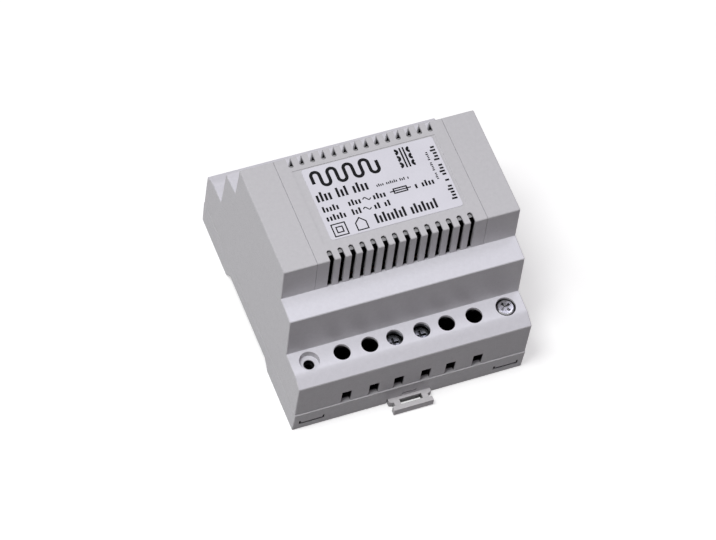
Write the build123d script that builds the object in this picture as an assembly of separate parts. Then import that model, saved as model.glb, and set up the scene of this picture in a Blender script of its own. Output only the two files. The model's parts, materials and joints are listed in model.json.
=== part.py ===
from build123d import *
import os

# Frame, in millimetres: X runs along the rail, Y up the panel and Z out of it.
# Z = 0 is the back plane that the housing rests on, and Y = 0 is the middle of the rail.

# Rail that the channel in the back takes
rail_half = 17.5
rail_flange = 1.0
rail_clearance = 0.2

# Stepped outline of the housing: depths add up outwards from the nose, heights from the rim
width = 87.5
wall = 2.0
nose_top_half = 21.9
nose_draft = 0.85
shoulder_depth = 9.15
step_draft = 1.2
ledge_depth = 8.8
eave_depth = 4.5
rim_z = 10.2
wall_height = 16.9
eave_height = 2.5
ledge_rise = 0.65
step_height = 18.95
shoulder_rise = 1.4
nose_height = 15.15
ledge_thickness = 1.8
edge_chamfer = 0.25
end_chamfer = 0.25
knee_radius = 5.0

# Rear base: rail channel, fixed hooks and walls
rail_seat_z = 4.0
channel_flare = 3.7
base_proud = 0.4
base_draft = 0.5
hook_bite = 1.5
hook_width = 12.0
hook_x = 22.0
hook_tip = 0.8
hook_lift = 0.4
pry_slot_length = 9.5
pry_slot_height = 1.2
pry_slot_z = 3.1
pry_slot_end_margin = 2.1
pry_notch_width = 0.7
pry_notch_height = 1.3

# Vent grille between the end caps
end_cap = 12.25
grille_wall = 1.2
seam = 0.12
vent_pitch = 4.0
vent_width = 1.8
vent_corner = 0.5
vent_length = 4.2
vent_end_margin = 3.5
vent_rib_reach = 1.4
vent_rib_root = 1.0
vent_rib_depth = 1.2
lip_reach = 2.0
lip_root = 1.5
lip_thickness = 1.1
snap_width = 2.0
snap_end_margin = 3.3
snap_thickness = 1.4
snap_depth = 1.3
snap_root_height = 5.0
hold_down_width = 2.0
fit_gap = 0.2

# Label in its recess, with the recess's margins round it
recess_depth = 0.25
recess_left = 3.2
recess_right = 1.2
recess_below = 0.55
recess_above = 0.45
label_width = 48.9
label_height = 30.0
label_thickness = 0.2
label_corner = 1.0
label_x = 1.0
label_y = 0.75

# Terminal places: the first along X, the steps to the next ones in turn, and the distance from the step
pole_x = 5.1
pole_short_step = 9.35
pole_long_step = 10.35
pole_inset = 4.6
driver_hole_radius = 3.05
entry_width = 3.7
entry_height = 6.8
chamber_wall = 1.2
chamber_end = 5.2
chamber_lift = 0.3

# Case screws at the corners of the ledges
case_end_margin = 6.85
counterbore_radius = 3.65
counterbore_depth = 2.5
case_hole_radius = 1.95
case_boss_half = 5.0
case_boss_depth = 2.2
base_boss_half = 3.7
case_head_radius = 3.2
case_head_height = 2.3
case_head_bevel = 0.5
case_screw_turn = 25.0
case_shank_radius = 1.45
case_shank_length = 18.0
pilot_gap = 0.05

# Cross recess of the screw heads
cross_width = 0.9
cross_length = 4.0
cross_depth = 1.1

# Live terminals: bar, rising cage and screw
bar_width = 4.0
bar_thickness = 1.0
bar_rise = 0.2
bar_inner = 6.9
bar_outer = 4.8
post_inner = 6.7
post_outer = 3.1
post_width = 4.0
cage_half_width = 3.7
cage_sheet = 0.8
cage_top = 1.6
cage_depth = 5.0
cage_mouth = 4.4
cage_float = 0.3
screw_radius = 1.5
screw_head_radius = 3.2
screw_head_height = 1.9
screw_head_gap = 1.6
screw_tip_gap = 0.05
thread_gap = 0.05

# Sliding foot and its spring
foot_half = 8.0
foot_low_z = 0.4
foot_step = 0.4
foot_travel = 4.0
foot_stand_out = 5.3
foot_shoulder = 1.4
foot_neck_half = 6.4
foot_neck_slope = 0.6
pull_bar_half = 7.5
pull_bar_depth = 1.8
pull_bar_lift = 0.3
pull_window_half = 4.15
pull_window = 2.0
foot_bite = 1.5
foot_bevel = 1.8
foot_running_gap = 0.25
tongue = 1.4
tongue_thickness = 1.2
tongue_set_back = 5.4
tongue_start = 1.1
foot_box_wall = 1.75
foot_slot_half = 2.8
foot_slot_height = 0.8
foot_slot_depth = 1.2
lug_set_back = 6.4
lug_thickness = 2.0
lug_half = 2.1
lug_lift = 0.3
spring_length = 12.0
spring_window_gap = 0.5
spring_strip = 0.4
spring_height = 1.6
spring_turns = 6

# Core, bobbin and windings
core_lift = 6.0
core_width = 54.0
core_height = 45.0
core_stack = 18.8
core_leg = 18.0
cradle_lip = 1.2
cradle_lip_height = 3.0
bobbin_wall = 1.0
bobbin_gap = 0.2
bobbin_flange = 1.0
bobbin_corner = 0.5
winding_depth = 6.4
flange_over = 0.5
winding_gap = 0.05
winding_corner = 3.0
lead_width = 1.6
lead_thickness = 0.8
lead_exit = 4.0

# Places and heights that follow from the sizes above
half_width = width / 2
nose_foot_half = nose_top_half + nose_draft
shoulder_half = nose_foot_half + shoulder_depth
step_foot_half = shoulder_half + step_draft
ledge_knee_half = step_foot_half + ledge_depth
wall_half = ledge_knee_half + eave_depth
eave_z = rim_z + wall_height
ledge_knee_z = eave_z + eave_height
ledge_z = ledge_knee_z + ledge_rise
shoulder_z = ledge_z + step_height
nose_foot_z = shoulder_z + shoulder_rise
nose_top_z = nose_foot_z + nose_height
ledge_under_z = ledge_knee_z - ledge_thickness
eave_under_z = eave_z - ledge_thickness / 2
inner_half = wall_half - wall
inner_knee_half = ledge_knee_half - ledge_thickness / 4
chamber_back = step_foot_half - wall
rail_seat_half = rail_half + rail_clearance
rail_mouth_half = rail_seat_half + channel_flare
flange_back_z = rail_seat_z - rail_flange - rail_clearance
deck_z = rail_seat_z + wall
grille_half = half_width - end_cap
snap_x = grille_half - snap_end_margin
vent_end_half = nose_top_half - vent_length
pole_half = step_foot_half + pole_inset
case_x = half_width - case_end_margin
case_seat_z = ledge_z - ledge_rise * pole_inset / ledge_depth - counterbore_depth
case_boss_z = case_seat_z - case_boss_depth
bar_z = rim_z + entry_height + bar_rise
bar_top_z = bar_z + bar_thickness
bar_inner_half = pole_half - bar_inner
cage_top_z = bar_top_z + cage_float + cage_top
head_top_z = ledge_under_z - screw_head_gap
foot_top_z = flange_back_z + foot_step
foot_middle_z = (foot_low_z + foot_top_z) / 2
foot_roof_z = foot_top_z + foot_running_gap
foot_end = wall_half + foot_stand_out
foot_tip = rail_half - foot_bite
tongue_outer = wall_half - tongue_set_back
tongue_inner = rail_mouth_half + tongue_start
lug_outer = wall_half - lug_set_back
lug_inner = lug_outer - lug_thickness
window_inner = lug_inner - spring_length
core_z = deck_z + core_lift
core_top_z = core_z + core_height
yoke = core_leg / 2
window_low_z = core_z + yoke
window_high_z = core_top_z - yoke
winding_half_x = core_leg / 2 + bobbin_gap + bobbin_wall + winding_depth
winding_half_y = core_stack / 2 + bobbin_gap + bobbin_wall + winding_depth
recess_floor_z = nose_top_z - recess_depth
label_span = (label_x - label_width / 2, label_x + label_width / 2)
label_rise = (label_y - label_height / 2, label_y + label_height / 2)

# Sides in Y and X, with the names that their pieces carry
SIDES = {"lower": -1, "upper": 1}
HANDS = {"left": -1, "right": 1}
CASE_SCREWS = {"lower": 1, "upper": -1}


def slab(x, y, z):
    """Box between two limits on each axis, given in either order."""
    limits = [sorted(pair) for pair in (x, y, z)]
    middle = [(low + high) / 2 for low, high in limits]
    size = [high - low for low, high in limits]
    return Pos(*middle) * Box(*size)


def post(radius, x, y, low_z, high_z):
    """Round post or bore along Z."""
    return Pos(x, y, (low_z + high_z) / 2) * Cylinder(radius, high_z - low_z)


def block(half, x, y, low_z, high_z):
    """Square post along Z."""
    return slab((x - half, x + half), (y - half, y + half), (low_z, high_z))


def both_ways(places):
    """Places on either side of zero."""
    return [sign * place for place in places for sign in (-1, 1)]


def pole_row():
    """Terminal places outwards from the middle, as many as clear the case screws."""
    places = []
    following = pole_x
    while following + chamber_end < case_x - case_boss_half:
        places.append(following)
        following += pole_short_step if len(places) % 2 else pole_long_step
    return places


def section(half):
    """Face across X from the +Y half of its outline, listed from the middle outwards."""
    points = [(-y, z) for y, z in reversed(half)] + half
    return make_face(Polyline(points, close=True))


def run_along_x(face, half_length):
    """Solid of a section, the same length both ways from the middle."""
    return extrude(Plane.YZ * face, amount=half_length, both=True)


def corners(face, *places):
    """Corners of a section at the given half depths and heights, on both sides."""
    return [face.vertices().sort_by_distance((y, z, 0))[0] for half, z in places for y in (-half, half)]


def nose_section(inset, low_z):
    """Section of the nose, drawn in from its outside by an inset."""
    draft = (nose_foot_half - nose_top_half) / (nose_top_z - nose_foot_z)
    return section(
        [
            (nose_top_half - inset, nose_top_z - inset),
            (nose_foot_half - inset + draft * (nose_foot_z - low_z), low_z),
        ]
    )


def pry_slot(hand, side):
    """Slot for a blade at one corner of the base, with a notch up from each of its ends."""
    outer = half_width - pry_slot_end_margin
    inner = outer - pry_slot_length
    through = (side * (inner_half - wall), side * foot_end)
    slot_top_z = pry_slot_z + pry_slot_height
    slot = slab((hand * inner, hand * outer), through, (pry_slot_z, slot_top_z))
    for span in ((inner, inner + pry_notch_width), (outer - pry_notch_width, outer)):
        slot += slab([hand * x for x in span], through, (pry_slot_z, slot_top_z + pry_notch_height))
    return slot


def make_rear_base():
    rim_half = wall_half + base_proud
    outside = section(
        [
            (rail_seat_half, rail_seat_z),
            (rail_mouth_half, 0),
            (rim_half - base_draft, 0),
            (rim_half, rim_z),
        ]
    )
    hollow = section(
        [
            (rail_seat_half + wall, deck_z),
            (rail_mouth_half + wall, wall),
            (inner_half, wall),
            (inner_half, rim_z + wall),
        ]
    )
    base = run_along_x(outside, half_width)
    outer_edges = base.edges().filter_by(lambda edge: abs(edge.center().Y) > inner_half)
    long_foot = outer_edges.filter_by(Axis.X).sort_by(Axis.Z)[:2]
    uprights = outer_edges.filter_by(Axis.X, reverse=True)
    base = chamfer(uprights + long_foot, end_chamfer)
    base -= run_along_x(hollow, half_width - wall)

    # Fixed hooks behind the upper flange
    hook = make_face(
        Polyline(
            [
                (rail_half - hook_bite, flange_back_z),
                (rail_half - hook_bite, flange_back_z - hook_tip),
                (rail_half + hook_lift, hook_lift),
                (rail_mouth_half + wall, hook_lift),
                (rail_mouth_half + wall, flange_back_z),
            ],
            close=True,
        )
    )
    hook = run_along_x(hook, hook_width / 2)
    base += [Pos(x, 0, 0) * hook for x in both_ways([hook_x])]

    # Guide of the foot: roofed channel with side grooves, and the lug that carries the spring
    channel_half = foot_half + foot_running_gap
    groove_half = channel_half + tongue
    roof_top_z = foot_roof_z + foot_box_wall
    groove_rise = tongue_thickness / 2 + foot_running_gap
    across = (-channel_half, channel_half)
    base += slab(
        (-groove_half - foot_box_wall, groove_half + foot_box_wall),
        (-inner_half - wall / 2, -rail_seat_half),
        (0, roof_top_z),
    )
    base -= slab(across, (-foot_end, -foot_tip), (-wall, foot_roof_z))
    base -= slab(
        (-groove_half, groove_half),
        (-tongue_outer - foot_travel - foot_running_gap, -tongue_inner + foot_running_gap),
        (foot_middle_z - groove_rise, foot_middle_z + groove_rise),
    )
    base += slab((-lug_half, lug_half), (-lug_outer, -lug_inner), (foot_low_z + lug_lift, roof_top_z))
    base -= slab(
        (-foot_slot_half, foot_slot_half),
        (-foot_end, -rim_half + foot_slot_depth),
        (roof_top_z - foot_slot_height, roof_top_z),
    )

    # Bosses of the case screws, posts of the terminal bars and the cradle of the core
    post_root_z = {SIDES["lower"]: foot_roof_z + foot_box_wall / 2, SIDES["upper"]: wall / 2}
    for side in SIDES.values():
        for hand in HANDS.values():
            x, y = hand * case_x, side * pole_half
            base += block(base_boss_half, x, y, wall / 2, case_boss_z)
            base -= post(case_shank_radius + pilot_gap, x, y, wall, case_boss_z + wall)
            middle = hand * pole_x
            base += slab(
                (middle - post_width / 2, middle + post_width / 2),
                (side * (pole_half - post_inner), side * (pole_half - post_outer)),
                (post_root_z[side], bar_z),
            )
            base -= pry_slot(hand, side)
    lip_x = core_width / 2 + fit_gap
    lip_y = core_stack / 2 + fit_gap
    cradle = slab(
        (-lip_x - cradle_lip, lip_x + cradle_lip),
        (-lip_y - cradle_lip, lip_y + cradle_lip),
        (deck_z - wall / 2, core_z + cradle_lip_height),
    )
    cradle -= slab((-lip_x, lip_x), (-lip_y, lip_y), (core_z, core_top_z))
    cradle -= slab((-core_leg, core_leg), (-inner_half, inner_half), (deck_z, core_top_z))
    return base + cradle


def chamber_rib(side):
    """Rib beside a terminal chamber, rooted in the ledge, the eave and the wall."""
    root = ledge_thickness / 2
    low_z = rim_z + chamber_lift
    outline = [
        (chamber_back, low_z),
        (chamber_back, ledge_under_z + root),
        (inner_knee_half, ledge_under_z + root),
        (inner_half + root, eave_under_z + root),
        (inner_half + root, low_z),
    ]
    face = make_face(Polyline([(side * y, z) for y, z in outline], close=True))
    return run_along_x(face, chamber_wall / 2)


def make_front_cover():
    outside = section(
        [
            (nose_top_half, nose_top_z),
            (nose_foot_half, nose_foot_z),
            (shoulder_half, shoulder_z),
            (step_foot_half, ledge_z),
            (ledge_knee_half, ledge_knee_z),
            (wall_half, eave_z),
            (wall_half, rim_z),
        ]
    )
    hollow = section(
        [
            (nose_top_half - wall, nose_top_z - wall),
            (nose_foot_half - wall, nose_foot_z - wall),
            (shoulder_half - wall, shoulder_z - wall),
            (chamber_back, ledge_under_z),
            (inner_knee_half, ledge_under_z),
            (inner_half, eave_under_z),
            (inner_half, rim_z - wall),
        ]
    )
    outside = fillet(corners(outside, (ledge_knee_half, ledge_knee_z)), knee_radius)
    edges = ((nose_top_half, nose_top_z), (shoulder_half, shoulder_z), (wall_half, eave_z))
    outside = chamfer(corners(outside, *edges), edge_chamfer)
    cover = run_along_x(outside, half_width)
    ends = cover.faces().filter_by(Axis.X).edges()
    cover = chamfer(ends.filter_by(lambda edge: edge.center().Z > rim_z), end_chamfer)
    cover -= run_along_x(hollow, half_width - wall)

    # Opening for the vent grille, with a lip under each of its ends
    opening_half = nose_foot_half + seam
    cover -= slab(
        (-grille_half, grille_half), (-opening_half, opening_half), (nose_foot_z, nose_top_z + wall)
    )
    lip = nose_section(grille_wall + fit_gap / 2, nose_foot_z)
    lip -= nose_section(grille_wall + lip_thickness, nose_foot_z - wall)
    lip = run_along_x(lip, (lip_reach + lip_root) / 2)
    cover += [Pos(x, 0, 0) * lip for x in both_ways([grille_half + (lip_root - lip_reach) / 2])]

    # Terminal chambers under the ledges
    places = pole_row()
    block_half = places[-1] + chamber_end
    between = [(near + far) / 2 for near, far in zip(places, places[1:])]
    ribs = [0] + both_ways(between + [block_half - chamber_wall / 2])
    for side in SIDES.values():
        back = side * (chamber_back + chamber_wall)
        rise = (rim_z + chamber_lift, ledge_under_z + ledge_thickness / 2)
        cover += slab((-block_half, block_half), (side * chamber_back, back), rise)
        rib = chamber_rib(side)
        cover += [Pos(x, 0, 0) * rib for x in ribs]
        for x in both_ways([pole_x]):
            notch_half = bar_width / 2 + fit_gap
            cover -= slab((x - notch_half, x + notch_half), (side * bar_inner_half, back), (0, bar_top_z))

        # Screwdriver holes and wire entries
        for x in both_ways(places):
            cover -= post(driver_hole_radius, x, side * pole_half, ledge_under_z - wall, ledge_z + wall)
            cover -= slab(
                (x - entry_width / 2, x + entry_width / 2),
                (side * (inner_half - wall), side * foot_end),
                (rim_z - wall, rim_z + entry_height),
            )

        # Counterbored holes of the case screws
        for x in both_ways([case_x]):
            y = side * pole_half
            cover += block(case_boss_half, x, y, case_boss_z, ledge_under_z + ledge_thickness / 2)
            cover -= post(counterbore_radius, x, y, case_seat_z, ledge_z + wall)
            cover -= post(case_hole_radius, x, y, case_boss_z - wall, case_seat_z + wall)
    return cover


def make_vent_grille():
    outside = nose_section(0, nose_foot_z)
    outside = chamfer(corners(outside, (nose_top_half, nose_top_z)), edge_chamfer)
    grille = run_along_x(outside, grille_half - seam)
    grille -= run_along_x(nose_section(grille_wall, nose_foot_z - wall), grille_half)

    # Vent slots, from the top over the edge and down the wall
    pairs = int((grille_half - vent_end_margin) / vent_pitch + 0.5)
    slot = slab(
        (-vent_width / 2, vent_width / 2),
        (vent_end_half, nose_foot_half + wall),
        (nose_foot_z - wall, nose_top_z + wall),
    )
    slot = chamfer(slot.edges().filter_by(Axis.Z).group_by(Axis.Y)[0], vent_corner)
    for x in both_ways([(number + 0.5) * vent_pitch for number in range(pairs)]):
        grille -= [Pos(x, 0, 0) * Rot(0, 0, turn) * slot for turn in (0, 180)]
    grille -= slab(
        (label_span[0] - recess_left, label_span[1] + recess_right),
        (label_rise[0] - recess_below, label_rise[1] + recess_above),
        (recess_floor_z, nose_top_z + wall),
    )

    # Ribs along the inner ends of the slots, which close them there
    rib_half = grille_half - lip_reach - 2 * fit_gap
    rib_top_z = nose_top_z - grille_wall
    for side in SIDES.values():
        grille += slab(
            (-rib_half, rib_half),
            (side * (vent_end_half - vent_rib_root), side * (vent_end_half + vent_rib_reach)),
            (rib_top_z - vent_rib_depth, rib_top_z),
        )

    # Snap hooks that reach through the opening and behind the shoulder
    hook_face = nose_foot_half - wall - fit_gap
    under_z = nose_foot_z - wall - fit_gap
    for side in SIDES.values():
        for x in both_ways([snap_x]):
            span = (x - snap_width / 2, x + snap_width / 2)
            inside = side * (hook_face - snap_thickness)
            root = side * (nose_foot_half - grille_wall / 2)
            grille += slab(span, (inside, root), (nose_foot_z, nose_foot_z + snap_root_height))
            grille += slab(span, (inside, side * hook_face), (under_z - snap_depth, nose_foot_z))
            grille += slab(
                span, (inside, side * (hook_face + snap_depth)), (under_z - snap_depth, under_z)
            )

    # Ribs that hold the core down on its cradle
    for x in both_ways([(core_width - yoke) / 2]):
        grille += slab(
            (x - hold_down_width / 2, x + hold_down_width / 2),
            (-core_stack / 2, core_stack / 2),
            (core_top_z + fit_gap, nose_top_z - grille_wall / 2),
        )
    return grille


def make_rating_label():
    label = slab(label_span, label_rise, (recess_floor_z, recess_floor_z + label_thickness))
    return fillet(label.edges().filter_by(Axis.Z), label_corner)


def make_din_foot():
    neck_start = wall_half + foot_shoulder
    half = [
        (foot_half, -foot_tip),
        (foot_half, -neck_start),
        (foot_neck_half, -neck_start - foot_neck_slope),
        (foot_neck_half, -foot_end),
    ]
    outline = make_face(Polyline(half + [(-x, y) for x, y in reversed(half)], close=True))
    foot = extrude(Pos(0, 0, foot_low_z) * outline, amount=foot_top_z - foot_low_z)
    pull_inner = foot_end - pull_bar_depth
    foot += slab(
        (-pull_bar_half, pull_bar_half), (-foot_end, -pull_inner), (foot_low_z, foot_top_z + pull_bar_lift)
    )
    foot -= slab(
        (-pull_window_half, pull_window_half),
        (-pull_inner + pull_bar_lift, -pull_inner + pull_bar_lift + pull_window),
        (0, foot_top_z + wall),
    )
    foot -= slab(
        (-lug_half - spring_window_gap, lug_half + spring_window_gap),
        (-lug_outer - foot_running_gap, -window_inner),
        (0, foot_top_z + wall),
    )
    foot += [
        slab(
            (sign * (foot_half - wall), sign * (foot_half + tongue)),
            (-tongue_outer, -tongue_inner),
            (foot_middle_z - tongue_thickness / 2, foot_middle_z + tongue_thickness / 2),
        )
        for sign in HANDS.values()
    ]

    # Nose that goes behind the lower flange, bevelled so that the rail can push it aside
    foot -= slab(
        (-foot_half, foot_half), (-rail_mouth_half, -foot_tip), (flange_back_z, foot_top_z)
    )
    bevel = make_face(
        Polyline(
            [
                (-foot_tip, foot_low_z),
                (-foot_tip, foot_low_z + foot_bevel),
                (-foot_tip - foot_bevel, foot_low_z),
            ],
            close=True,
        )
    )
    return foot - run_along_x(bevel, foot_half)


def make_foot_spring():
    """Strip folded to and fro, between the lug and the inner end of the foot's window."""
    step = (spring_length - spring_strip) / spring_turns
    height = (foot_middle_z - spring_height / 2, foot_middle_z + spring_height / 2)
    starts = [-lug_inner + turn * step for turn in range(spring_turns + 1)]
    first, *others = [slab((-lug_half, lug_half), (y, y + spring_strip), height) for y in starts]
    for turn, y in enumerate(starts[:-1]):
        sign = 1 if turn % 2 else -1
        others.append(slab((sign * (lug_half - spring_strip), sign * lug_half), (y, y + step), height))
    return first + others


def cross_recess(top_z):
    """Cross recess in a screw head."""
    arms = ((cross_length, cross_width), (cross_width, cross_length))
    return [
        slab((-long / 2, long / 2), (-wide / 2, wide / 2), (top_z - cross_depth, top_z + cross_depth))
        for long, wide in arms
    ]


def make_case_screw(side):
    top_z = case_seat_z + case_head_height
    screw = post(case_head_radius, 0, 0, case_seat_z, top_z)
    screw = chamfer(screw.edges().sort_by(Axis.Z)[-1], case_head_bevel)
    screw += post(case_shank_radius, 0, 0, case_seat_z - case_shank_length, case_seat_z)
    place = Pos(CASE_SCREWS[side] * case_x, SIDES[side] * pole_half, 0)
    return place * Rot(0, 0, case_screw_turn) * (screw - cross_recess(top_z))


def make_terminal_screw(x, side):
    head_low_z = head_top_z - screw_head_height
    screw = post(screw_head_radius, 0, 0, head_low_z, head_top_z)
    screw += post(screw_radius, 0, 0, bar_top_z + screw_tip_gap, head_low_z)
    return Pos(x, side * pole_half, 0) * (screw - cross_recess(head_top_z))


def make_terminal_cage(x, side):
    inner_half_width = cage_half_width - cage_sheet
    depth = (-cage_depth / 2, cage_depth / 2)
    low_z = bar_z - cage_mouth
    cage = slab((-cage_half_width, cage_half_width), depth, (low_z - cage_sheet, cage_top_z))
    cage -= slab((-inner_half_width, inner_half_width), depth, (low_z, bar_top_z + cage_float))
    cage -= post(screw_radius + thread_gap, 0, 0, bar_top_z, cage_top_z + wall)
    return Pos(x, side * pole_half, 0) * cage


def make_terminal_bar(x, side):
    return slab(
        (x - bar_width / 2, x + bar_width / 2),
        (side * bar_inner_half, side * (pole_half + bar_outer)),
        (bar_z, bar_top_z),
    )


def make_laminated_core():
    core = slab((-core_width / 2, core_width / 2), (-core_stack / 2, core_stack / 2), (core_z, core_top_z))
    for sign in HANDS.values():
        core -= slab(
            (sign * core_leg / 2, sign * (core_width / 2 - yoke)),
            (-core_stack, core_stack),
            (window_low_z, window_high_z),
        )
    return core


def ring(half_x, half_y, hole_x, hole_y, low_z, high_z, corner):
    """Rectangular ring about Z, with its outer corners cut."""
    outer = slab((-half_x, half_x), (-half_y, half_y), (low_z, high_z))
    outer = chamfer(outer.edges().filter_by(Axis.Z), corner)
    return outer - slab((-hole_x, hole_x), (-hole_y, hole_y), (low_z, high_z))


def bobbin_levels():
    """Undersides of the bobbin's three flanges, from the lowest up."""
    low_z = window_low_z + bobbin_gap
    high_z = window_high_z - bobbin_gap - bobbin_flange
    return low_z, (low_z + high_z) / 2, high_z


def make_coil_bobbin():
    hole_x = core_leg / 2 + bobbin_gap
    hole_y = core_stack / 2 + bobbin_gap
    low_z, middle_z, high_z = bobbin_levels()
    tube = (hole_x + bobbin_wall, hole_y + bobbin_wall)
    flange = (winding_half_x + flange_over, winding_half_y + flange_over)
    bobbin = ring(*tube, hole_x, hole_y, low_z, high_z + bobbin_flange, bobbin_corner)
    for z in (low_z, middle_z, high_z):
        bobbin += ring(*flange, hole_x, hole_y, z, z + bobbin_flange, bobbin_corner)
    return bobbin


def make_winding(chamber):
    levels = bobbin_levels()
    return ring(
        winding_half_x,
        winding_half_y,
        core_leg / 2 + bobbin_gap + bobbin_wall + winding_gap,
        core_stack / 2 + bobbin_gap + bobbin_wall + winding_gap,
        levels[chamber] + bobbin_flange + winding_gap,
        levels[chamber + 1] - winding_gap,
        winding_corner,
    )


def make_lead(x, side, chamber):
    """Flat insulated lead, folded down from the face of a winding to the inner end of a terminal bar."""
    levels = bobbin_levels()
    start_z = (levels[chamber] + bobbin_flange + levels[chamber + 1]) / 2
    end_z = (bar_z + bar_top_z) / 2
    route = [
        (x, side * winding_half_y, start_z),
        (x, side * (winding_half_y + lead_exit), start_z),
        (x, side * (bar_inner_half - lead_exit), end_z),
        (x, side * bar_inner_half, end_z),
    ]
    path = Polyline(*route)
    start = Plane(path @ 0, x_dir=(1, 0, 0), z_dir=path % 0)
    return sweep(start * Rectangle(lead_width, lead_thickness), path=path, transition=Transition.RIGHT)


def make_nodes():
    """Every piece at rest, by name."""
    nodes = {
        "rear_base": make_rear_base(),
        "front_cover": make_front_cover(),
        "vent_grille": make_vent_grille(),
        "rating_label": make_rating_label(),
        "din_foot": make_din_foot(),
        "foot_spring": make_foot_spring(),
        "laminated_core": make_laminated_core(),
        "coil_bobbin": make_coil_bobbin(),
        "secondary_winding": make_winding(0),
        "primary_winding": make_winding(1),
    }
    chambers = {"lower": 0, "upper": 1}
    for side_name, side in SIDES.items():
        nodes[f"case_screw_{side_name}"] = make_case_screw(side_name)
        for hand_name, hand in HANDS.items():
            x = hand * pole_x
            place = f"{side_name}_{hand_name}"
            nodes[f"terminal_screw_{place}"] = make_terminal_screw(x, side)
            nodes[f"terminal_cage_{place}"] = make_terminal_cage(x, side)
            nodes[f"terminal_bar_{place}"] = make_terminal_bar(x, side)
            nodes[f"lead_{place}"] = make_lead(x, side, chambers[side_name])
    return nodes


os.makedirs("parts", exist_ok=True)
for name, solid in make_nodes().items():
    export_step(solid, f"parts/{name}.step")
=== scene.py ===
import json
import math

import bmesh
import bpy
from mathutils import Matrix, Vector


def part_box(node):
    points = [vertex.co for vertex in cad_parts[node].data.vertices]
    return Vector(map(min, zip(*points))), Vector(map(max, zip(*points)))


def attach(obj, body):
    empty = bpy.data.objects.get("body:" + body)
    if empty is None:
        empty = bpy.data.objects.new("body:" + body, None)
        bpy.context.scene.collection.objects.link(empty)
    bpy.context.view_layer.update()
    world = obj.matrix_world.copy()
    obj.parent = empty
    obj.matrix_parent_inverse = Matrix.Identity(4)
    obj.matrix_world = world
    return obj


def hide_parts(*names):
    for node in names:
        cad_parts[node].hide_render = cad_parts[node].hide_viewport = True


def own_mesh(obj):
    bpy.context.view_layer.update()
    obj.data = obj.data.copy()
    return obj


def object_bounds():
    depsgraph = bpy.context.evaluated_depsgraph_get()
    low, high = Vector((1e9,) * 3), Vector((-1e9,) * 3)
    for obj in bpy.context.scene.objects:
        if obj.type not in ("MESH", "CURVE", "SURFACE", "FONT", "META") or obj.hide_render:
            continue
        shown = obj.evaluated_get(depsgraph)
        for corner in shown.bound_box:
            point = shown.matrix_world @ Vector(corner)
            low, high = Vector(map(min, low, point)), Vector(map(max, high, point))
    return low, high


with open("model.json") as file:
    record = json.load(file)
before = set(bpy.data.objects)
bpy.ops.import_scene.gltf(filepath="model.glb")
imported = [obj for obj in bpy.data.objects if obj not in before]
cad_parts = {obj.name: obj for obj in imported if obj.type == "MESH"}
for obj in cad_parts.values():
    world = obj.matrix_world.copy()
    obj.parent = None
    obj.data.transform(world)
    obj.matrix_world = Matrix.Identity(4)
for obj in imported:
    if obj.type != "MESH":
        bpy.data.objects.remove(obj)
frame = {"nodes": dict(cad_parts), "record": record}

cad_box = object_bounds()
nodes = frame["nodes"]

MM = 0.001
HOUSING_BODY = "housing"

# Camera of the photograph: what it aims at, from where in metres and degrees, and its lens in millimetres
AIM = Vector((-0.0074, -0.0080, 0.030))
DISTANCE = 1.3143
AZIMUTH = -30.25
ELEVATION = 56.87
ROLL = 10.84
LENS = 188.4
SENSOR = 36.0

# Lamps, with powers in watts and places and sizes in metres: the sheen lamp only shows in reflections
SHEEN_LAMP = "sheen"
LAMPS = {
    "key": {"place": (-0.5, -0.12, 1.42), "size": 0.45, "power": 12.3, "tint": (0.98, 1.0, 0.985)},
    "left": {"place": (-1.45, 0.2, 0.5), "size": 1.0, "power": 4.7, "tint": (0.95, 0.96, 1.0)},
    SHEEN_LAMP: {"place": (0.435, 0.4, 1.5), "size": 0.4, "power": 9.0, "tint": (0.86, 0.86, 1.0)},
}

# Sky as a light, and the floor: its size, its gap under the object, its shade, glow and light thrown back
SKY = (0.308, 0.287, 0.307, 1.0)
WHITE = (1.0, 1.0, 1.0, 1.0)
FLOOR_SIZE = 8.0
FLOOR_GAP = 0.05 * MM
FLOOR_SHADE = (0.72, 0.72, 0.72, 1.0)
FLOOR_LIFT = 0.48
FLOOR_BOUNCE = (0.02, 0.02, 0.02, 1.0)

# Steps of the housing's outline in millimetres, each with its half depth and height, for the painted shade
# in its openings
STEPS = ((21.9, 65.75), (22.6, 52.0), (31.9, 49.2), (41.9, 29.6), (46.4, 27.1))

# What counts as outside it: the rail channel with its walls, and the two counterbores without a screw
CHANNEL_HALF = 24.0 * MM
CHANNEL_HEIGHT = 8.0 * MM
COUNTERBORE_RADIUS = 3.75 * MM
COUNTERBORE_FLOOR = 27.0 * MM

# Painted shade in the housing's openings: depth in millimetres inside the outline at which faces across X,
# Y and Z are dark, above the base's rim
PAINTED_SHADE_FROM = {
    "rear_base": (0.0, 0.0, 1.4),
    "front_cover": (0.25, 0.25, 0.25),
    "vent_grille": (0.4, 0.05, 1.0),
}
PAINTED_SHADE_FADE = 0.5 * MM
RIM_HEIGHT = 10.1 * MM

# Painted highlight on ledges: height up to which faces that look up count as ledges, and the upward share
# of their facing
HIGHLIGHT_LIMIT = 55.0 * MM
HIGHLIGHT_SLOPE = (0.5, 0.85)

# Painted shade in the recesses of smaller pieces: how far off walls count, and the share of free sky when
# dark and when lit
PAINTED_SHADE_REACH = 9.0 * MM
PAINTED_SHADE_DARK = 0.1
PAINTED_SHADE_LIT = 0.42

# Moulded plastic: cells per metre of its mottle and of its eroded texture, and how strongly they show
MOTTLE_SCALE = 700.0
TEXTURE_SCALE = 3200.0
TEXTURE_BUMP = 0.07
TEXTURE_DEPTH = 0.03 * MM
PLASTIC_SPECULAR = 0.2
ROUGHNESS_SPREAD = 0.04

# Range that most values of a noise lie in
NOISE_SPAN = (0.3, 0.7)

# Colour sockets of a Mix node: its two inputs and its output
MIX_FIRST, MIX_SECOND, MIX_RESULT = 6, 7, 2

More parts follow.
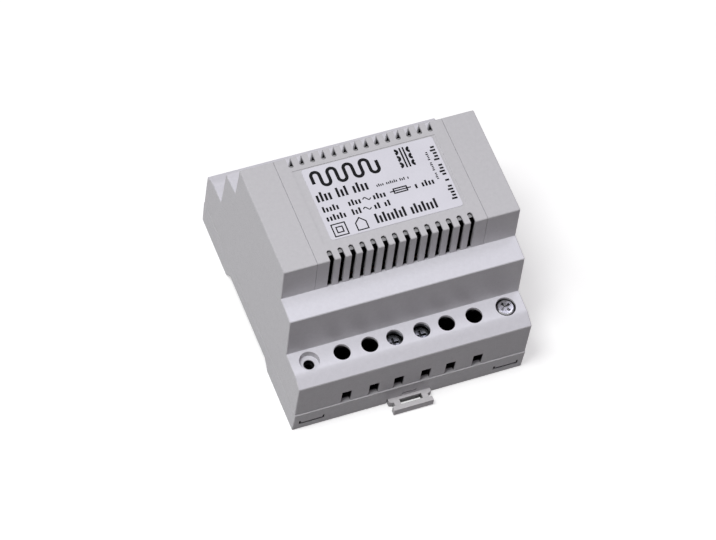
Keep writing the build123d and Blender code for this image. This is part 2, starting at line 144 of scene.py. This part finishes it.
# Print on the label, in millimetres: ink thickness, the ticks that stand for letters, and the plain signs
INK = 0.02
WELD = 0.0001
TICK_SHARE = 0.58
TICK_RISE = (1.0, 0.72, 0.72, 1.0, 0.72)
SMALL_PRINT = {"height": 2.4, "pitch": 1.25}
TILDE = {"length": 2.9, "height": 1.2, "weight": 0.4}
SIGN_WEIGHT = 0.45


def srgb(red, green, blue):
    """Linear colour of a screen colour given from 0 to 255."""
    levels = [value / 255 for value in (red, green, blue)]
    linear = [v / 12.92 if v <= 0.04045 else ((v + 0.055) / 1.055) ** 2.4 for v in levels]
    return (*linear, 1.0)


# Black of the painted shade deep inside recesses and openings
PAINTED_SHADE_BLACK = srgb(14, 13, 15)


class Shader:
    """A node material under construction, with its Principled shader ready."""

    def __init__(self, name):
        self.material = bpy.data.materials.new(name)
        self.material.use_nodes = True
        self.tree = self.material.node_tree
        self.surface = self.tree.nodes["Principled BSDF"]
        coordinates = self.add("ShaderNodeTexCoord")
        self.place = coordinates.outputs["Object"]
        self.facing = coordinates.outputs["Normal"]

    def add(self, kind, **inputs):
        """A new node with the given inputs, each named with _ for a space."""
        node = self.tree.nodes.new(kind)
        for name, value in inputs.items():
            self.feed(node.inputs[name.replace("_", " ")], value)
        return node

    def feed(self, socket, value):
        """Links a node's output to a socket, or sets the socket to a plain value."""
        if isinstance(value, bpy.types.NodeSocket):
            self.tree.links.new(value, socket)
        else:
            socket.default_value = value

    def set(self, **inputs):
        for name, value in inputs.items():
            self.feed(self.surface.inputs[name.replace("_", " ")], value)

    def noise(self, scale, detail=3.0, roughness=0.55, place=None):
        node = self.add("ShaderNodeTexNoise", Scale=scale, Detail=detail, Roughness=roughness)
        self.feed(node.inputs["Vector"], place or self.place)
        return node.outputs["Fac"]

    def stretched(self, x, y, z):
        """Object place scaled along each axis, for grain that runs one way."""
        return self.add("ShaderNodeMapping", Vector=self.place, Scale=(x, y, z)).outputs["Vector"]

    def remap(self, value, *limits):
        """A value taken from one range, low and high, to another."""
        node = self.add("ShaderNodeMapRange", Value=value)
        for name, number in zip(("From Min", "From Max", "To Min", "To Max"), limits):
            node.inputs[name].default_value = number
        return node.outputs["Result"]

    def spread(self, noise, low, high):
        """A noise value taken to a range."""
        return self.remap(noise, *NOISE_SPAN, low, high)

    def math(self, operation, *values):
        node = self.add("ShaderNodeMath")
        node.operation = operation
        for socket, value in zip(node.inputs, values):
            self.feed(socket, value)
        return node.outputs[0]

    def vectors(self, operation, *values):
        node = self.add("ShaderNodeVectorMath")
        node.operation = operation
        for socket, value in zip(node.inputs, values):
            self.feed(socket, value)
        return node.outputs

    def blend(self, factor, first, second):
        node = self.add("ShaderNodeMix")
        node.data_type = "RGBA"
        self.feed(node.inputs["Factor"], factor)
        self.feed(node.inputs[MIX_FIRST], first)
        self.feed(node.inputs[MIX_SECOND], second)
        return node.outputs[MIX_RESULT]

    def bump(self, height, strength, depth):
        node = self.add("ShaderNodeBump", Height=height, Strength=strength, Distance=depth)
        return node.outputs["Normal"]

    def axes(self, vector):
        return self.add("ShaderNodeSeparateXYZ", Vector=vector).outputs

    def painted_shade_start(self, depths):
        """Depth from which a face has painted shade: the one of its facing above the base's rim, and zero
        below.
        """
        turn = self.vectors("ABSOLUTE", self.facing)["Vector"]
        depth = self.vectors("DOT_PRODUCT", turn, [value * MM for value in depths])["Value"]
        height = self.axes(self.place)["Z"]
        return self.math("MULTIPLY", depth, self.math("GREATER_THAN", height, RIM_HEIGHT))

    def painted_highlight_mask(self):
        """Value that is 1 on faces that look up from below the nose, as the shoulders and ledges do, for
        their painted highlight.
        """
        looks_up = self.remap(self.axes(self.facing)["Z"], *HIGHLIGHT_SLOPE, 0.0, 1.0)
        height = self.axes(self.place)["Z"]
        return self.math("MULTIPLY", looks_up, self.math("LESS_THAN", height, HIGHLIGHT_LIMIT))

    def in_empty_counterbore(self):
        """Value that is 1 above the floor of the two counterbores that hold no case screw."""
        x, y, z = self.axes(self.place)
        low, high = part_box("case_screw_lower")
        middle = (low + high) / 2
        along, across = self.math("ABSOLUTE", x), self.math("ABSOLUTE", y)
        flat = self.add("ShaderNodeCombineXYZ", X=along, Y=across).outputs["Vector"]
        distance = self.vectors("DISTANCE", flat, (abs(middle.x), abs(middle.y), 0.0))["Value"]
        in_bore = self.math("LESS_THAN", distance, COUNTERBORE_RADIUS)
        empty_corner = self.math("GREATER_THAN", self.math("MULTIPLY", x, y), 0.0)
        over_floor = self.math("GREATER_THAN", z, COUNTERBORE_FLOOR)
        return self.math("MULTIPLY", self.math("MULTIPLY", in_bore, empty_corner), over_floor)

    def outline_depth(self):
        """Depth inside the housing's outline, for the painted shade in its openings: zero or less on its
        outer faces and in empty counterbores.
        """
        x, y, z = self.axes(self.place)
        along, across = self.math("ABSOLUTE", x), self.math("ABSOLUTE", y)
        depth = -1.0
        for half, top in STEPS:
            below = self.math("SUBTRACT", top * MM, z)
            inside = self.math("MINIMUM", self.math("SUBTRACT", half * MM, across), below)
            depth = self.math("MAXIMUM", depth, inside)
        end_depth = self.math("SUBTRACT", cad_box[1].x, along)
        beside = self.math("SUBTRACT", across, CHANNEL_HALF)
        off_channel = self.math("MAXIMUM", beside, self.math("SUBTRACT", z, CHANNEL_HEIGHT))
        back_depth = self.math("MINIMUM", z, off_channel)
        depth = self.math("MINIMUM", depth, self.math("MINIMUM", end_depth, back_depth))
        return self.math("SUBTRACT", depth, self.in_empty_counterbore())

    def with_painted_shade(self, colour):
        """A colour on open faces, with painted shade that turns it to black deep inside recesses."""
        node = self.add("ShaderNodeAmbientOcclusion", Distance=PAINTED_SHADE_REACH)
        unshaded = self.remap(node.outputs["AO"], PAINTED_SHADE_DARK, PAINTED_SHADE_LIT, 0.0, 1.0)
        return self.blend(unshaded, PAINTED_SHADE_BLACK, colour)


def moulded_plastic(name, shade, colour, roughness, painted_shade_from=None, ledges=None):
    """Moulded plastic with a fine eroded texture, a faint mottle, an optional painted highlight on ledges,
    and painted shade: black past a depth in openings, else deep in recesses.
    """
    s = Shader(name)
    mottle = s.spread(s.noise(MOTTLE_SCALE, detail=4.0, roughness=0.65), 0.0, 1.0)
    texture = s.noise(TEXTURE_SCALE, detail=2.0)
    paint = s.blend(mottle, shade, colour)
    # Painted highlight: a paler grey on ledges and shoulders
    if ledges is not None:
        paint = s.blend(s.painted_highlight_mask(), paint, s.blend(mottle, *ledges))
    # Painted shade: black deep in recesses, or black past a depth inside the housing's openings
    if painted_shade_from is None:
        paint = s.with_painted_shade(paint)
    else:
        excess = s.math("SUBTRACT", s.outline_depth(), s.painted_shade_start(painted_shade_from))
        unshaded = s.remap(excess, 0.0, PAINTED_SHADE_FADE, 1.0, 0.0)
        paint = s.blend(unshaded, PAINTED_SHADE_BLACK, paint)
    s.set(
        Base_Color=paint,
        Roughness=s.spread(texture, roughness - ROUGHNESS_SPREAD, roughness + ROUGHNESS_SPREAD),
        Specular_IOR_Level=PLASTIC_SPECULAR,
        Normal=s.bump(texture, TEXTURE_BUMP, TEXTURE_DEPTH),
    )
    return s.material


def label_film():
    """White printed film with a soft sheen and a faint ripple from being laid by hand."""
    s = Shader("label_film")
    ripple = s.noise(scale=160.0, detail=1.0)
    clouds = s.spread(s.noise(scale=90.0), 0.0, 1.0)
    s.set(
        Base_Color=s.blend(clouds, srgb(212, 211, 219), srgb(217, 216, 224)),
        Roughness=s.spread(ripple, low=0.34, high=0.42),
        Normal=s.bump(ripple, strength=0.12, depth=0.05 * MM),
    )
    return s.material


def print_ink():
    """Near-black printing ink, a little uneven."""
    s = Shader("print_ink")
    cover = s.spread(s.noise(scale=900.0), 0.0, 1.0)
    s.set(
        Base_Color=s.blend(cover, srgb(10, 10, 14), srgb(5, 5, 8)),
        Roughness=0.6,
        Specular_IOR_Level=0.1,
    )
    return s.material


def plated_metal(name, colour, dull, roughness):
    """Plated metal with fine turning or rolling marks and painted shade in its recesses."""
    s = Shader(name)
    marks = s.noise(scale=900.0, detail=4.0, place=s.stretched(1.0, 1.0, 4.0))
    patches = s.spread(s.noise(scale=400.0), 0.0, 1.0)
    s.set(
        Metallic=1.0,
        # Painted shade in recesses, over the metal's patchy colour
        Base_Color=s.with_painted_shade(s.blend(patches, dull, colour)),
        Roughness=s.spread(marks, low=roughness - 0.07, high=roughness + 0.09),
        Normal=s.bump(marks, strength=0.1, depth=0.02 * MM),
    )
    return s.material


def banded(name, axis, bands, high, low, metallic, roughness):
    """Metal in fine bands across one axis, as a stack of plates or the turns of a winding."""
    s = Shader(name)
    ridges = s.add("ShaderNodeTexWave", Vector=s.place, Scale=bands, Distortion=0.25, Detail=1.0)
    ridges.bands_direction = axis
    band = ridges.outputs["Fac"]
    s.set(
        Metallic=metallic,
        Base_Color=s.blend(band, low, high),
        Roughness=s.spread(s.noise(scale=700.0), low=roughness - 0.08, high=roughness + 0.08),
        Normal=s.bump(band, strength=0.6, depth=0.06 * MM),
    )
    return s.material


def add_materials():
    """Gives each CAD node the finish of its record slot, and each large moulding one of its own."""
    finishes = {
        "label": label_film(),
        "foot": moulded_plastic("foot_plastic", srgb(204, 202, 204), srgb(212, 210, 212), 0.45),
        "spring_steel": plated_metal("spring_steel", srgb(176, 177, 181), srgb(150, 151, 156), 0.3),
        "core_steel": banded("core_plates", "Y", 620.0, srgb(74, 74, 80), srgb(36, 36, 40), 0.6, 0.5),
        "bobbin": moulded_plastic("bobbin_plastic", srgb(30, 30, 32), srgb(36, 36, 38), 0.5),
        "copper": banded("copper_turns", "Z", 1050.0, srgb(150, 84, 48), srgb(76, 36, 20), 0.9, 0.38),
        "plated_screw": plated_metal("bright_screw", srgb(184, 183, 187), srgb(146, 145, 149), 0.28),
        "terminal_steel": plated_metal("terminal_zinc", srgb(208, 210, 221), srgb(178, 179, 189), 0.28),
        "tinned_brass": plated_metal("tinned_brass", srgb(204, 201, 190), srgb(176, 172, 160), 0.34),
        "lead_primary": moulded_plastic("lead_black", srgb(24, 24, 26), srgb(30, 30, 32), 0.4),
        "lead_secondary": moulded_plastic("lead_red", srgb(132, 20, 18), srgb(150, 26, 22), 0.4),
    }
    greys = srgb(195, 194, 197), srgb(201, 200, 203)
    # Paler greys of the painted highlight on the front cover's ledges
    painted_highlight_greys = srgb(216, 215, 222), srgb(222, 221, 228)
    for part in frame["record"]["subparts"]:
        node = part["node"]
        # Housing mouldings get painted shade in their openings, and the front cover a painted highlight on
        # its ledges
        if node in PAINTED_SHADE_FROM:
            ledges = painted_highlight_greys if node == "front_cover" else None
            finish = moulded_plastic(
                f"{node}_plastic", *greys, roughness=0.3, painted_shade_from=PAINTED_SHADE_FROM[node], ledges=ledges
            )
        else:
            finish = finishes[part["material_slot"]]
        mesh = nodes[node].data
        mesh.materials.clear()
        mesh.materials.append(finish)


def bar(x, y, width, height):
    """Corners of a bar from its lower left one."""
    return [(x, y), (x + width, y), (x + width, y + height), (x, y + height)]


def square(x, y, size):
    """Corners of a square about a centre."""
    return bar(x - size / 2, y - size / 2, size, size)


def tick_row(x, y, height, pitch, words):
    """Row of upright ticks, one for each letter, with words of the given numbers of letters."""
    ticks = []
    for letters in words:
        for letter in range(letters):
            rise = TICK_RISE[(letter + letters) % len(TICK_RISE)]
            ticks.append(bar(x, y, pitch * TICK_SHARE, height * rise))
            x += pitch
        x += pitch
    return ticks


def upwards(shapes, x, y):
    """Shapes turned to read upwards, with their origin moved to a place."""
    return [[(x - v, y + u) for u, v in shape] for shape in shapes]


def ribbon(points, width, closed=False):
    """Quads of a line of constant width through points, joined at mitres."""
    points = [Vector(point) for point in points]
    count = len(points)
    sides = []
    for index, point in enumerate(points):
        before = points[index - 1] if closed or index else point
        after = points[(index + 1) % count] if closed or index + 1 < count else point
        ways = [way.normalized() for way in (point - before, after - point) if way.length]
        along = sum(ways, Vector((0, 0))).normalized()
        across = Vector((-along.y, along.x)) * width / 2 / along.dot(ways[0])
        sides.append((tuple(point - across), tuple(point + across)))
    pairs = list(zip(sides, sides[1:])) + ([(sides[-1], sides[0])] if closed else [])
    return [[a, c, d, b] for (a, b), (c, d) in pairs]


def arc(x, y, radius, start, end, steps):
    """Points of an arc, with its angles in degrees."""
    angles = [math.radians(start + (end - start) * step / steps) for step in range(steps + 1)]
    return [(x + radius * math.cos(angle), y + radius * math.sin(angle)) for angle in angles]


def wave(x, y, length, height, weight, steps=24):
    """One period of a sine wave from its left end, as the sign of alternating current."""
    points = []
    for step in range(steps + 1):
        rise = math.sin(2 * math.pi * step / steps)
        points.append((x + length * step / steps, y + rise * height / 2))
    return ribbon(points, weight)


def meander(x, y, turns, leg, radius, weight):
    """Line that goes up and down in straight legs joined by round turns, from its lower left end."""
    points = [(x, y)]
    for turn in range(turns):
        middle = x + radius * (2 * turn + 1)
        if turn % 2:
            points += arc(middle, y, radius, start=180, end=360, steps=12)
        else:
            points += arc(middle, y + leg, radius, start=180, end=0, steps=12)
    end = y if turns % 2 else y + leg
    return ribbon([*points, (x + 2 * radius * turns, end)], weight)


def coil_symbol(x, y, radius, weight):
    """Circuit symbol of a transformer: two rows of three turns with the core's two lines between them."""
    pitch = 2 * radius + 1.2 * weight
    core_weight = 0.6 * weight
    lines = []
    for hand in (-1, 1):
        core = x + hand * core_weight
        lines += ribbon([(core, y - 1.5 * pitch), (core, y + 1.5 * pitch)], core_weight)
        middle = core + hand * (core_weight / 2 + weight + radius)
        for turn in (-1, 0, 1):
            half_turn = arc(middle, y + pitch * turn, radius, start=-90, end=-90 - hand * 180, steps=10)
            lines += ribbon(half_turn, weight)
    return lines


def fuse_symbol(x, y, length, height, tail, weight):
    """Circuit symbol of a fuse about its centre: a box, and a line through it that stops at its sides."""
    outer, inner = (length + weight) / 2, (length - weight) / 2
    lines = []
    for left, right in ((-outer - tail, -outer), (-inner, inner), (outer, outer + tail)):
        lines += ribbon([(x + left, y), (x + right, y)], SIGN_WEIGHT)
    return lines + ribbon(bar(x - length / 2, y - height / 2, length, height), weight, closed=True)


def label_print():
    """Generic print in millimetres: ticks for words, and plain signs between them."""
    shapes = []
    shapes += meander(-21.0, 9.0, turns=8, leg=3.2, radius=1.5, weight=1.2)
    shapes += coil_symbol(13.2, 10.3, radius=0.8, weight=1.0)
    shapes += tick_row(-22.4, 1.5, height=4.0, pitch=1.5, words=[4, 3, 4])
    shapes += tick_row(-0.6, 1.6, height=1.15, pitch=0.72, words=[4, 6, 3, 1])

    # Two rows of small print, each with its words at their places and a wave between them
    for x, words in ((-22.0, [5]), (-12.6, [4]), (-3.4, [4]), (12.2, [1, 4])):
        shapes += tick_row(x, -3.0, words=words, **SMALL_PRINT)
    shapes += wave(-7.2, -1.8, **TILDE)
    shapes += fuse_symbol(6.8, -1.8, length=4.8, height=1.8, tail=1.25, weight=0.5)
    for x, words in ((-22.0, [6]), (-12.6, [3]), (-4.4, [2, 2])):
        shapes += tick_row(x, -6.8, words=words, **SMALL_PRINT)
    shapes += wave(-8.4, -5.6, **TILDE)

    # Nested squares, a house and a row of large print at the lower edge
    for size in (4.9, 2.2):
        shapes += ribbon(square(-19.1, -10.9, size), SIGN_WEIGHT, closed=True)
    house = [(-13.1, -13.2), (-9.3, -13.2), (-9.3, -10.2), (-11.2, -8.3), (-13.1, -10.2)]
    shapes += ribbon(house, SIGN_WEIGHT, closed=True)
    shapes += tick_row(-5.8, -12.5, height=4.0, pitch=1.45, words=[8, 7])

    # Two rows that read upwards at the right edge
    shapes += upwards(tick_row(0.0, 0.0, height=2.0, pitch=1.3, words=[5, 1, 4, 5]), 24.6, -11.0)
    shapes += upwards(tick_row(0.0, 0.0, height=0.9, pitch=0.75, words=[4, 5, 5]), 21.4, -1.6)
    return shapes


def add_label_print():
    """Ink shapes that lie on the label."""
    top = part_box("rating_label")[1].z
    build = bmesh.new()
    for outline in label_print():
        build.faces.new([build.verts.new((x * MM, y * MM, top)) for x, y in outline])
    bmesh.ops.remove_doubles(build, verts=build.verts, dist=WELD * MM)
    raised = bmesh.ops.extrude_face_region(build, geom=list(build.faces))["geom"]
    corners = [item for item in raised if isinstance(item, bmesh.types.BMVert)]
    bmesh.ops.translate(build, verts=corners, vec=(0, 0, INK * MM))
    bmesh.ops.recalc_face_normals(build, faces=build.faces)
    mesh = bpy.data.meshes.new("label_print")
    build.to_mesh(mesh)
    build.free()
    mesh.materials.append(print_ink())
    piece = bpy.data.objects.new("label_print", mesh)
    bpy.context.scene.collection.objects.link(piece)
    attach(piece, HOUSING_BODY)


def add_spring():
    """Copy of the foot's spring that rides with the housing; the real spring shortens between its lug and
    the foot as the foot is pulled out.
    """
    spring = bpy.data.objects.new("folded_spring", nodes["foot_spring"].data.copy())
    bpy.context.scene.collection.objects.link(spring)
    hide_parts("foot_spring")
    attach(spring, HOUSING_BODY)
    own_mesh(spring)


def seen_directly(tree):
    """Value that is 1 for rays to the camera, also where a reflection or a clear piece lies between."""
    path = tree.nodes.new("ShaderNodeLightPath")
    seen = path.outputs["Is Camera Ray"]
    for ray in ("Is Glossy Ray", "Is Transmission Ray"):
        either = tree.nodes.new("ShaderNodeMath")
        either.operation = "MAXIMUM"
        tree.links.new(seen, either.inputs[0])
        tree.links.new(path.outputs[ray], either.inputs[1])
        seen = either.outputs[0]
    return seen


def floor_material():
    """Pale floor that looks white and keeps the object's shadow, but throws little light back."""
    material = bpy.data.materials.new("floor")
    material.use_nodes = True
    tree = material.node_tree
    tree.nodes.clear()
    pale = tree.nodes.new("ShaderNodeBsdfDiffuse")
    pale.inputs["Color"].default_value = FLOOR_SHADE
    lift = tree.nodes.new("ShaderNodeEmission")
    lift.inputs["Strength"].default_value = FLOOR_LIFT
    lifted = tree.nodes.new("ShaderNodeAddShader")
    tree.links.new(pale.outputs[0], lifted.inputs[0])
    tree.links.new(lift.outputs[0], lifted.inputs[1])
    bounce = tree.nodes.new("ShaderNodeBsdfDiffuse")
    bounce.inputs["Color"].default_value = FLOOR_BOUNCE
    either = tree.nodes.new("ShaderNodeMixShader")
    tree.links.new(seen_directly(tree), either.inputs[0])
    tree.links.new(bounce.outputs[0], either.inputs[1])
    tree.links.new(lifted.outputs[0], either.inputs[2])
    output = tree.nodes.new("ShaderNodeOutputMaterial")
    tree.links.new(either.outputs[0], output.inputs["Surface"])
    return material


def add_floor():
    """Floor just under the object."""
    mesh = bpy.data.meshes.new("floor")
    level = cad_box[0].z - FLOOR_GAP
    mesh.from_pydata([(x, y, level) for x, y in square(0, 0, FLOOR_SIZE)], [], [(0, 1, 2, 3)])
    mesh.materials.append(floor_material())
    floor = bpy.data.objects.new("floor", mesh)
    bpy.context.scene.collection.objects.link(floor)


def add_world():
    """Even sky that lights softly and looks white behind the object."""
    world = bpy.data.worlds.new("studio")
    bpy.context.scene.world = world
    world.use_nodes = True
    tree = world.node_tree
    colour = tree.nodes.new("ShaderNodeMix")
    colour.data_type = "RGBA"
    tree.links.new(seen_directly(tree), colour.inputs["Factor"])
    colour.inputs[MIX_FIRST].default_value = SKY
    colour.inputs[MIX_SECOND].default_value = WHITE
    tree.links.new(colour.outputs[MIX_RESULT], tree.nodes["Background"].inputs["Color"])


def add_lamps():
    """Soft square lamps that face the object."""
    for name, lamp in LAMPS.items():
        data = bpy.data.lights.new(name, "AREA")
        data.energy = lamp["power"]
        data.size = lamp["size"]
        data.color = lamp["tint"]
        light = bpy.data.objects.new(name, data)
        light.location = lamp["place"]
        light.visible_diffuse = name != SHEEN_LAMP
        light.rotation_mode = "QUATERNION"
        light.rotation_quaternion = (AIM - light.location).to_track_quat("-Z", "Y")
        bpy.context.scene.collection.objects.link(light)


def add_camera():
    """Camera at the photograph's place, angle and roll."""
    data = bpy.data.cameras.new("camera")
    data.lens = LENS
    data.sensor_width = SENSOR
    camera = bpy.data.objects.new("camera", data)
    turn, rise = math.radians(AZIMUTH), math.radians(ELEVATION)
    back = Vector((math.sin(turn) * math.cos(rise), -math.cos(turn) * math.cos(rise), math.sin(rise)))
    place = Matrix.Translation(AIM + back * DISTANCE)
    look = (-back).to_track_quat("-Z", "Y").to_matrix().to_4x4()
    camera.matrix_world = place @ look @ Matrix.Rotation(math.radians(ROLL), 4, "Z")
    bpy.context.scene.collection.objects.link(camera)
    bpy.context.scene.camera = camera


add_materials()
add_label_print()
add_spring()
add_floor()
add_world()
add_lamps()
add_camera()
bpy.context.scene.view_settings.view_transform = "Standard"
